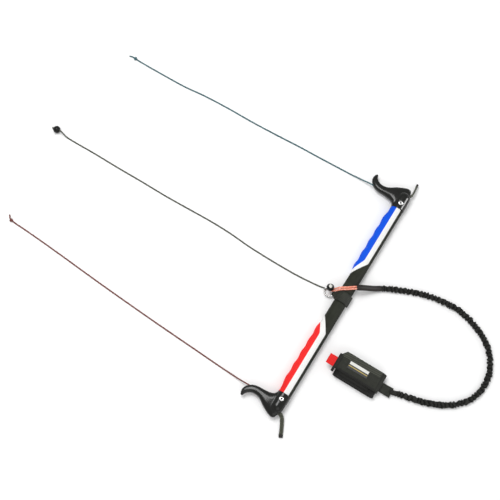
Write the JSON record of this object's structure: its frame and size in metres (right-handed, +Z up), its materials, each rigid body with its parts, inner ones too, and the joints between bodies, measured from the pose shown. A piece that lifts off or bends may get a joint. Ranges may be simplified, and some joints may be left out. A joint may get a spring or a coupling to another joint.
{
  "type": "kite control bar",
  "caption": "Trainer-kite control bar: foam-gripped aluminium bar with winglet end caps, leader lines, a ring with stopper beads, and a wrist leash with a padded cuff",
  "frame": {"origin": "on the floor, under the middle of the bar's own footprint (its end caps, horns, strap and grips, without the cords, the keepers and the leash)", "axes": "+X runs along the bar to the blue end, +Y points to the kite, the way the horns and the lines go, and +Z is up from the floor the bar lies on"},
  "size_m": [0.6233, 1.0865, 0.0363],
  "materials": {
    "tube_aluminium": "satin",
    "foam_red": "matte",
    "foam_blue": "matte",
    "cap_plastic": "gloss",
    "plug_rubber": "matte",
    "stainless": "polished",
    "keeper_elastic": "matte",
    "sleeve_rubber": "satin",
    "line_red": "matte",
    "line_blue": "matte",
    "line_grey": "matte",
    "webbing_black": "matte",
    "bead_plastic": "satin",
    "cord_salmon": "matte",
    "leash_elastic": "matte",
    "cuff_fabric": "matte",
    "pile_grey": "matte",
    "label_woven": "satin",
    "tab_red": "matte"
  },
  "bodies": {
    "bar": {"bar_tube": "tube_aluminium", "grip_left": "foam_red", "grip_right": "foam_blue", "end_cap_left": "cap_plastic", "end_cap_right": "cap_plastic", "tube_plug_left": "plug_rubber", "tube_plug_right": "plug_rubber", "cap_bolts": "stainless", "cap_nuts": "stainless", "leader_left": "line_red", "leader_right": "line_blue", "leader_knot_left": "line_red", "leader_knot_right": "line_blue", "centre_strap": "webbing_black", "centre_line": "line_grey", "far_ball": "bead_plastic", "far_knot": "line_grey", "leash_loop_a": "cord_salmon", "leash_loop_b": "cord_salmon", "leash_sleeve": "sleeve_rubber", "leash_cord": "leash_elastic", "leash_tab": "webbing_black"},
    "ring": {"centre_ring": "stainless", "stopper_bead": "bead_plastic", "bead_knot": "line_grey", "lark_knot": "cord_salmon"},
    "left_keeper": {"keeper_left": "keeper_elastic", "keeper_sleeve_left": "sleeve_rubber"},
    "right_keeper": {"keeper_right": "keeper_elastic", "keeper_sleeve_right": "sleeve_rubber"},
    "cuff": {"cuff_band": "cuff_fabric", "loop_patch": "pile_grey"},
    "flap": {"cuff_flap": "cuff_fabric", "hook_patch": "pile_grey", "flap_hem": "webbing_black", "cuff_label": "label_woven"},
    "red_tab": {"pull_tab": "tab_red"}
  },
  "joints": [
    {"name": "ring_swing", "type": "hinge", "parent": "bar", "child": "ring", "pos_m": [0.0025, -0.0105, 0.009], "axis": [1, 0, 0], "range_deg": [0, 40], "deforming": ["leash_loop_a", "leash_loop_b", "centre_line"]},
    {"name": "left_keeper_swing", "type": "hinge", "parent": "bar", "child": "left_keeper", "pos_m": [-0.272, -0.037, 0.0142], "axis": [0, 0, 1], "range_deg": [-25, 25]},
    {"name": "right_keeper_swing", "type": "hinge", "parent": "bar", "child": "right_keeper", "pos_m": [0.272, -0.037, 0.0142], "axis": [0, 0, 1], "range_deg": [-50, 0]},
    {"name": "cuff_lift", "type": "hinge", "parent": "bar", "child": "cuff", "pos_m": [-0.116, -0.1902, 0.0067], "axis": [1, 0, 0], "range_deg": [0, 45]},
    {"name": "flap_open", "type": "hinge", "parent": "cuff", "child": "flap", "pos_m": [-0.112, -0.18, 0.02135], "axis": [1, 0, 0], "range_deg": [0, 125]},
    {"name": "red_tab_bend", "type": "hinge", "parent": "flap", "child": "red_tab", "pos_m": [-0.122, -0.0852, 0.02135], "axis": [1, 0, 0], "range_deg": [0, 90]}
  ]
}
